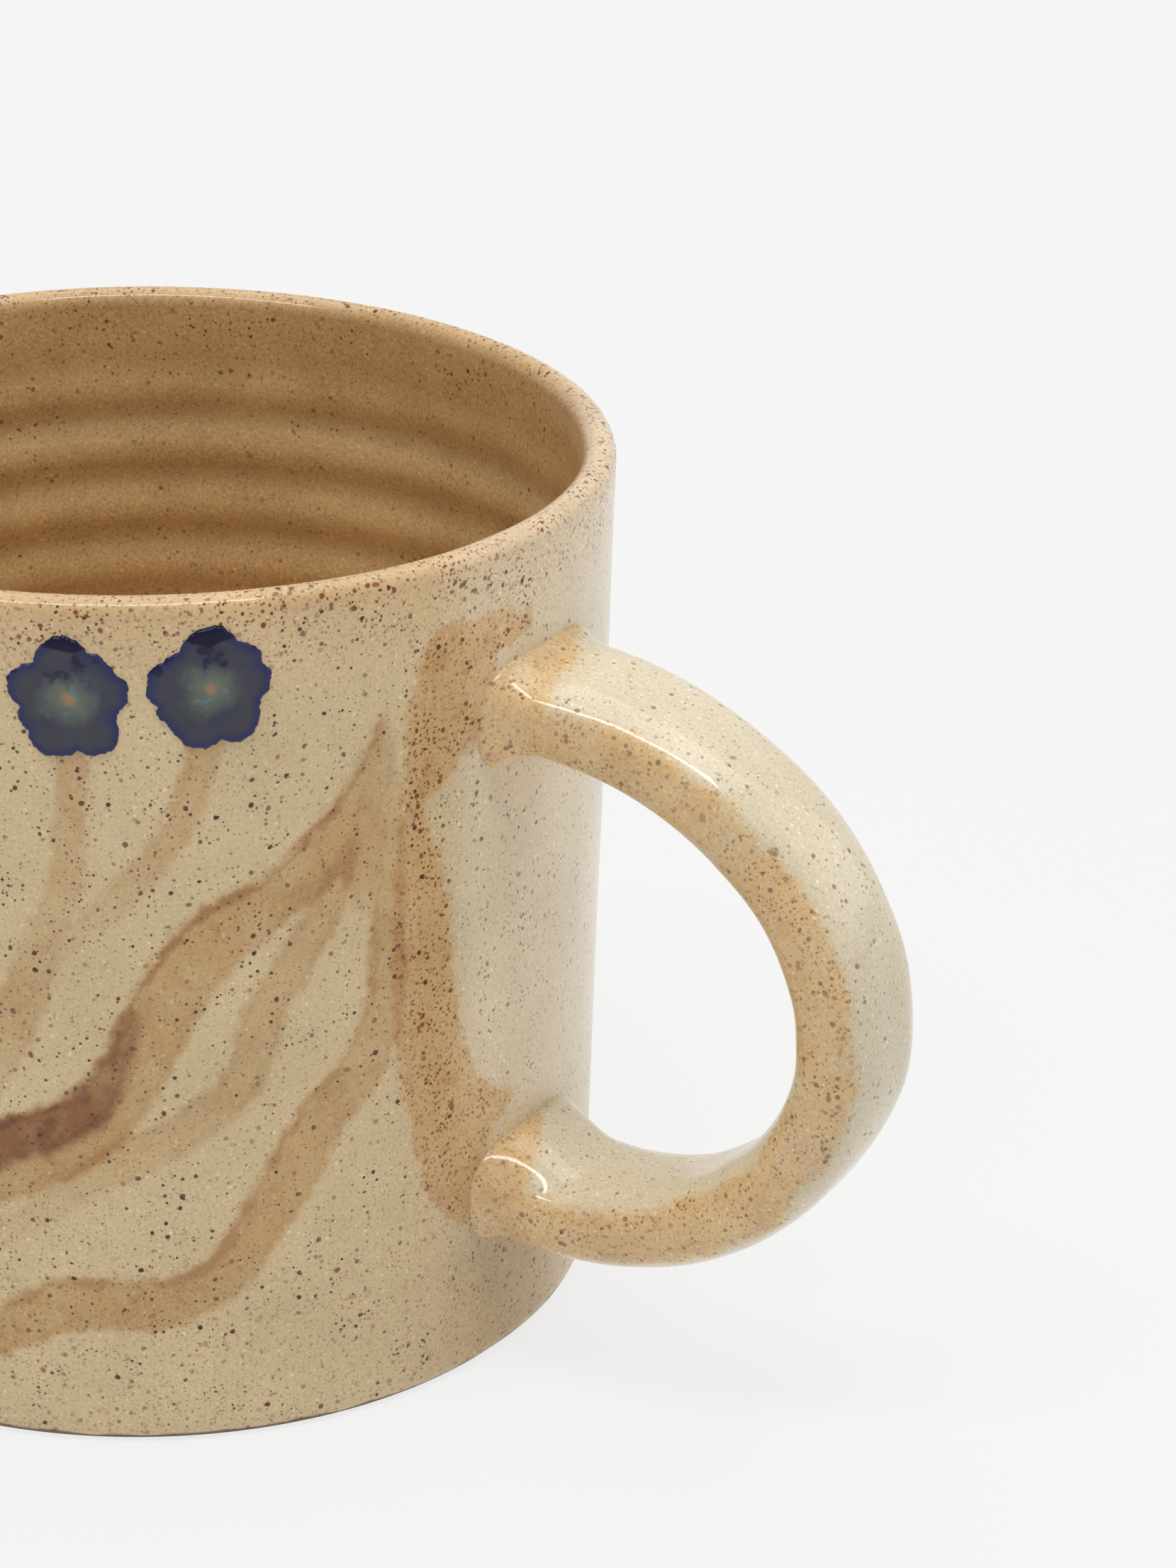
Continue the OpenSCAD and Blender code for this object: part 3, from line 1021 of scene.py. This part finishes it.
def speck_group():
    """Iron specks: round spots of mixed size in a loose scatter, as a mask."""
    group, given, result = new_group(
        "iron_specks", "ShaderNodeTree",
        {
            "Place": VECTOR, "Gap": 0.001, "Smallest": 0.05, "Largest": 0.2, "Share": 0.6,
            "Softness": 0.05, "Seed": 0.0,
        },
        {"Mask": FLOAT, "Tone": FLOAT},
    )

    def vectors(operation, a, **more):
        return read(group, "ShaderNodeVectorMath", at_operation=operation, in0=a, **more)

    per_metre = 1.0 / given["Gap"]
    moved = vectors("ADD", given["Place"], in1=vector(given["Seed"], given["Seed"]))
    ragged = read(group, "ShaderNodeTexNoise", "Color", Vector=moved, Scale=per_metre * 2.2, Detail=1.0)
    off = vectors("SUBTRACT", ragged, in1=(0.5, 0.5, 0.5))
    bent = vectors("ADD", moved, in1=vectors("SCALE", off, Scale=given["Gap"] * 0.22))
    cells = put(group, "ShaderNodeTexVoronoi", Vector=bent, Scale=per_metre, Randomness=1.0).outputs
    size, chance, tone = parts(Value(group, cells["Color"]), "ShaderNodeSeparateColor")
    radius = given["Smallest"] + size**2.6 * (given["Largest"] - given["Smallest"])
    present = maths("LESS_THAN", chance, given["Share"])
    gap_in = radius - Value(group, cells["Distance"])
    inside = smooth_step(gap_in, given["Softness"] * -1.0, given["Softness"])
    plug(result["Mask"], inside * present)
    plug(result["Tone"], tone)
    return group


def glazed_clay_group(specks):
    """The speckled clay under clear glaze: a colour, a roughness and a height for a bump."""
    group, given, result = new_group(
        "glazed_clay", "ShaderNodeTree",
        {
            "Place": VECTOR, "Body": BUFF, "Speck Strength": 1.0, "Rust": 0.5, "Mottle": 1.0,
            "Crowding": 0.0,
        },
        {"Colour": COLOUR, "Roughness": FLOAT, "Height": FLOAT},
    )
    place = given["Place"]
    cloud = noise(place, 95.0, 3.0, 0.55)
    fine = noise(place, 3200.0, 3.0, 0.65)
    light = ((cloud - 0.5) * 0.30 + (fine - 0.5) * 0.55) * given["Mottle"] + 1.0
    tone = read(group, "ShaderNodeCombineColor", Red=light, Green=light**1.12, Blue=light**1.35)
    colour = blend_colour(group, "MULTIPLY", 1.0, given["Body"], tone)
    # Pale flecks: partly light grains in the clay, partly painted glints.
    pale_flecks_and_glints = use(group, specks, Place=place, Gap=0.7 * MM, Smallest=0.10, Largest=0.28, Share=0.7,
                 Softness=0.10, Seed=7.7)
    fleck_and_glint_colour = blend_colour(group, "MULTIPLY", 1.0, colour, (1.28, 1.32, 1.40, 1.0))
    colour = blend_colour(group, "MIX", pale_flecks_and_glints["Mask"] * 0.8, colour, fleck_and_glint_colour)
    # Rare large rust spots, common middle ones and a dense dust of small dark ones. The last two
    # layers come in only where the specks are crowded. They all thin out and gather in clouds.
    # A layer is gap, smallest, largest, share, softness, seed, depth, colour and crowded or not.
    layers = (
        (7.5 * MM, 0.04, 0.075, 0.60, 0.015, 3.1, 0.85, SPECK_RUST, False),
        (2.3 * MM, 0.05, 0.14, 0.85, 0.05, 1.7, 0.85, SPECK_RUST, False),
        (1.05 * MM, 0.08, 0.26, 0.95, 0.04, 0.6, 0.97, SPECK_DARK, False),
        (0.60 * MM, 0.09, 0.29, 0.90, 0.07, 0.9, 0.88, SPECK_DARK, False),
        (0.38 * MM, 0.12, 0.30, 0.90, 0.10, 0.2, 0.55, SPECK_DARK, False),
        (0.90 * MM, 0.12, 0.33, 0.95, 0.08, 5.3, 0.95, SPECK_RUST, True),
        (0.45 * MM, 0.17, 0.38, 0.95, 0.12, 4.4, 0.90, SPECK_RUST, True),
    )
    clouds = 0.55 + smooth_step(noise(place, 260.0), 0.38, 0.62) * 0.65
    for gap, smallest, largest, share, softness, seed, depth, dark, crowded in layers:
        spots = use(group, specks, Place=place, Gap=gap, Smallest=smallest, Largest=largest,
                    Share=share, Softness=softness, Seed=seed)
        rusty = smooth_step(spots["Tone"], 0.55, 0.75) * given["Rust"]
        level = given["Crowding" if crowded else "Speck Strength"]
        amount = maths("MULTIPLY", spots["Mask"] * depth * level, clouds, clamp=True)
        spot_colour = blend_colour(group, "MIX", rusty, dark, SPECK_RUST)
        colour = blend_colour(group, "MIX", amount, colour, spot_colour)
    pin = use(group, specks, Place=place, Gap=6.0 * MM, Smallest=0.02, Largest=0.05, Share=0.5,
              Softness=0.02, Seed=9.4)
    orange_peel = noise(place, 420.0)
    plug(result["Colour"], colour)
    plug(result["Roughness"], 0.4 + cloud * 0.14)
    plug(result["Height"], orange_peel * 0.6 + fine * 0.4 - pin["Mask"] * 0.8)
    return group


def wash_group():
    """A thin brown wash laid by brush: soft ragged edges and a darker line where it gathered."""
    group, given, result = new_group(
        "brush_wash", "ShaderNodeTree",
        {
            "Place": VECTOR, "Under": BUFF, "Edge": -8.0, "Strength": 0.0, "Line": 0.0,
            "Tint": (0.8, 0.7, 0.58, 1.0), "Softness": 0.55, "Raggedness": 1.5,
            "Gathered": (0.62, 0.42, 0.27, 1.0), "Blotches": 0.4,
        },
        {"Colour": COLOUR, "Mask": FLOAT},
    )
    place = given["Place"]
    streak = noise(place, 230.0)
    edge = given["Edge"] + (noise(place, 700.0, 3.0) - 0.5) * given["Raggedness"]
    inside = smooth_step(edge, given["Softness"] * -1.0, given["Softness"])
    mask = maths("MULTIPLY", inside * given["Strength"], 0.45 + streak * 1.1, clamp=True)
    near = maths("ABSOLUTE", edge - 0.7) + smooth_step(streak, 0.6, 0.4) * 0.5
    ridge = smooth_step(0.95 - near, 0.0, 0.8) * given["Line"]
    washed = blend_colour(group, "MULTIPLY", mask, given["Under"], given["Tint"])
    pale = noise(place, 330.0, 3.0, 0.6)
    blotch = smooth_step(pale, 0.5, 0.66) * given["Blotches"]
    gathered = maths("MULTIPLY", maths("MAXIMUM", ridge, blotch * mask), 0.8, clamp=True)
    plug(result["Colour"], blend_colour(group, "MULTIPLY", gathered, washed, given["Gathered"]))
    plug(result["Mask"], mask)
    return group


def coats_group(wash):
    """Where two coats of glaze overlap on the handle it is golden: its near side and its roots."""
    group, given, result = new_group(
        "handle_coats", "ShaderNodeTree",
        {"Place": VECTOR, "Side": 0.0, "Half Width": 7.0}, {"Colour": COLOUR, "Golden": FLOAT},
    )
    place, side = given["Place"], given["Side"]
    x, _, z = parts(place)
    from_side = side * -1.0 - (given["Half Width"] - 0.9)
    root_reach = 44.2 + smooth_step(z, 30 * MM, 50 * MM) * 2.8
    drift = (noise(place, 130.0) - 0.5) * 6.0
    near_root = root_reach - x / MM + (drift - side * 0.35)
    near_side = from_side + drift * 0.45
    thick = use(group, wash, Place=place, Under=CREAM, Edge=maths("MAXIMUM", near_side, near_root),
                Strength=1.0, Line=0.15, Tint=HANDLE_TINT, Softness=0.6, Raggedness=2.0, Blotches=0.5,
                Gathered=(0.84, 0.70, 0.54, 1.0))
    plug(result["Colour"], thick["Colour"])
    plug(result["Golden"], thick["Mask"])
    return group


def new_material(name):
    """A material with an empty Principled shader, and its object coordinates."""
    material = bpy.data.materials.new(name)
    material.use_nodes = True
    tree = material.node_tree
    return material, tree, tree.nodes["Principled BSDF"], read(tree, "ShaderNodeTexCoord", "Object")


def attribute(tree, name):
    """Reads a number stored on the vertices."""
    return read(tree, "ShaderNodeAttribute", "Fac", at_attribute_name=name)


def set_inputs(node, values):
    """Fills a node's inputs by name."""
    for name, value in values.items():
        plug(node.inputs[name], value)


def finish_glaze(tree, shader, colour, rough, height, bump=0.05 * MM, coat=0.5, specular=0.3):
    """Wires a glaze into its shader: a clear coat over the coloured body."""
    set_inputs(shader, {
        "Base Color": colour, "Roughness": rough, "IOR": 1.5, "Specular IOR Level": specular,
        "Coat IOR": 1.5, "Coat Roughness": 0.06, "Coat Weight": coat,
        "Normal": read(tree, "ShaderNodeBump", Strength=1.0, Distance=bump, Height=height),
    })


def cup_glaze_material(groups):
    """Clear glaze on buff clay, with the painted leaves under it and a bare foot."""
    material, tree, shader, place = new_material("cup_glaze")
    height = parts(place)[2]
    near_rim = smooth_step(height, CUP_H - 11 * MM, CUP_H - 1 * MM)
    near_foot = smooth_step(height, 36 * MM, 8 * MM)
    on_top = smooth_step(height, CUP_H - 2.4 * MM, CUP_H - 0.6 * MM)
    # The inner wall's mask also lays painted shade: the inside of the cup is tinted darker and browner.
    inner = attribute(tree, "inner_wall")
    # The paler right-hand side is partly painted light from the right.
    pale_and_lit_side = attribute(tree, "pale_and_lit_side")
    colour = blend_colour(tree, "MIX", pale_and_lit_side, BUFF, PALE_AND_LIT_SIDE)
    # The tint low on the wall below the handle is painted shade.
    for mask, tint in ((attribute(tree, "shade_below_handle"), HANDLE_SHADE_TINT), (near_rim, RIM_TINT),
                       (on_top, RIM_TOP_TINT), (inner, INSIDE_SHADE_TINT)):
        colour = blend_colour(tree, "MULTIPLY", mask, colour, tint)
    thick = use(tree, groups["wash"], Place=place, Under=colour, Edge=attribute(tree, "thick_edge"),
                Strength=1.0, Line=0.05, Tint=THICK_TINT, Softness=0.5, Raggedness=2.6, Blotches=0.6,
                Gathered=(0.80, 0.66, 0.50, 1.0))
    colour = thick["Colour"]
    pooled = {"Softness": 0.9, "Raggedness": 1.8, "Blotches": 0.9, "Gathered": (0.62, 0.38, 0.28, 1.0)}
    for name, tint, more in (("leaf", LEAF_TINT, {}), ("shade", LEAF_TINT, {"Softness": 0.5}),
                             ("pool", POOL_TINT, pooled)):
        edge, strength, line_up = (attribute(tree, name + end) for end in ("_edge", "_strength", "_line"))
        colour = use(tree, groups["wash"], Place=place, Under=colour, Edge=edge, Strength=strength,
                     Line=line_up, Tint=tint, **more)["Colour"]
    specks_up = 0.92 + near_rim * 0.35 - inner * 0.5 - pale_and_lit_side * 0.3
    crowding = maths("MAXIMUM", near_rim * 0.95, near_foot * 0.4)
    crowding = maths("MAXIMUM", thick["Mask"], crowding) * (1.0 - inner * 0.75)
    rust_up = 0.45 + maths("MAXIMUM", near_rim, thick["Mask"]) * 0.5
    clay = use(tree, groups["clay"], Place=place, Body=colour, Speck_Strength=specks_up, Rust=rust_up,
               Crowding=crowding, Mottle=1.0 + inner)
    ragged_height = height + noise(place, 260.0) * (-1.2 * MM)
    bare = 1.0 - smooth_step(ragged_height, -0.1 * MM, 0.35 * MM)
    colour = blend_colour(tree, "MIX", bare * 0.9, clay["Colour"], BARE_CLAY)
    finish_glaze(tree, shader, colour, clay["Roughness"] + bare * 0.5, clay["Height"],
                 coat=(1.0 - bare) * 0.5)
    return material


def coated_material(name, groups):
    """Cream glaze, with golden parts, under a thick clear coat: the handle's, or carried on over
    the slip in its joints, where the width across the handle is the place along Y."""
    material, tree, shader, place = new_material(name)
    if name == "handle_glaze":
        side, half_width = attribute(tree, "strap_side"), attribute(tree, "strap_half_width")
    else:
        side, half_width = parts(place)[1] / MM, 8.0
    body = use(tree, groups["coats"], Place=place, Side=side, Half_Width=half_width)
    clay = use(tree, groups["clay"], Place=place, Body=body["Colour"], Speck_Strength=0.6, Rust=0.55,
               Crowding=body["Golden"] * 0.7)
    finish_glaze(tree, shader, clay["Colour"], clay["Roughness"], clay["Height"], coat=0.7)
    return material


def blue_glaze_material():
    """Thick blue glaze: grey-blue petals, a teal ring, an orange middle and a dark upper edge."""
    material, tree, shader, place = new_material("blue_glaze")
    x, y, edge = (attribute(tree, "petal_" + name) for name in ("x", "y", "edge"))
    slow = noise(place, 420.0, 3.0)
    fine = noise(place, 1700.0, 3.0)
    ragged = maths("SQRT", x * x + y * y) + (slow - 0.5) * 2.4
    rim = 1.0 - smooth_step(edge, 0.1, 1.3)
    ring = 1.0 - smooth_step(ragged, 0.8, 3.1)
    smudge = smooth_step(slow, 0.56, 0.64) * smooth_step(y, 0.6, 2.2)
    top = y + (slow - 0.5) * 0.9 - maths("ABSOLUTE", x) * 0.28
    colour = FLOWER_BODY
    for mask, strength, tint in (
        (rim, 0.8, FLOWER_EDGE),
        (smooth_step(slow, 0.40, 0.62), 0.25, FLOWER_EDGE),
        (ring, 0.75, FLOWER_TEAL),
        (smooth_step(fine, 0.56, 0.68) * ring, 0.6, FLOWER_BRIGHT),
        (1.0 - smooth_step(ragged, 0.15, 0.95), 0.85, FLOWER_CENTRE),
        (smudge, 0.7, FLOWER_DARK),
        (smooth_step(top, 4.0, 4.35), 0.95, FLOWER_DARK),
    ):
        colour = blend_colour(tree, "MIX", mask * strength, colour, tint)
    finish_glaze(tree, shader, colour, 0.12 + slow * 0.12, fine, bump=0.02 * MM, coat=0.2, specular=0.12)
    return material


# ---------------------------------------------------------------------------
# Putting the mug together
# ---------------------------------------------------------------------------
def make_mug():
    """Mixes the glazes, makes the six pieces and says which solid each of them stands for."""
    specks = speck_group()
    wash = wash_group()
    groups = {"clay": glazed_clay_group(specks), "wash": wash, "coats": coats_group(wash)}
    cup_glaze = cup_glaze_material(groups)
    handle_glaze = coated_material("handle_glaze", groups)
    joint_glaze = coated_material("joint_glaze", groups)
    blue_glaze = blue_glaze_material()
    cup = make_cup(cup_glaze)
    handle = make_handle(handle_glaze)
    upper = make_collar("upper_slip_collar", True, (1.5 * MM, 0.9 * MM, 1.0 * MM),
                        (3.6 * MM, 3.0 * MM, 3.6 * MM), 0.0, 0.5 * MM, 21, joint_glaze)
    lower = make_collar("lower_slip_collar", False, (1.0 * MM, 1.5 * MM, 0.9 * MM),
                        (3.4 * MM, 8.5 * MM, 3.0 * MM), 0.9 * MM, 0.0, 33, joint_glaze)
    left = make_flower("left_flower", LEFT_FLOWER_ANGLE, FLOWER_Z - 0.6 * MM, LEFT_LOBES, 5, blue_glaze)
    right = make_flower("right_flower", RIGHT_FLOWER_ANGLE, FLOWER_Z, RIGHT_LOBES, 8, blue_glaze)
    stands_for = (
        (cup, "cup_body", "cup_glaze"), (handle, "handle", "handle_glaze"),
        (upper, "upper_joint_slip", "joint_glaze"), (lower, "lower_joint_slip", "joint_glaze"),
        (left, "flower_left", "blue_glaze"), (right, "flower_right", "blue_glaze"),
    )
    for piece, node, slot in stands_for:
        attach(piece, "root")
        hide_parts(node)


add_camera()
add_floor()
add_lights()
make_mug()
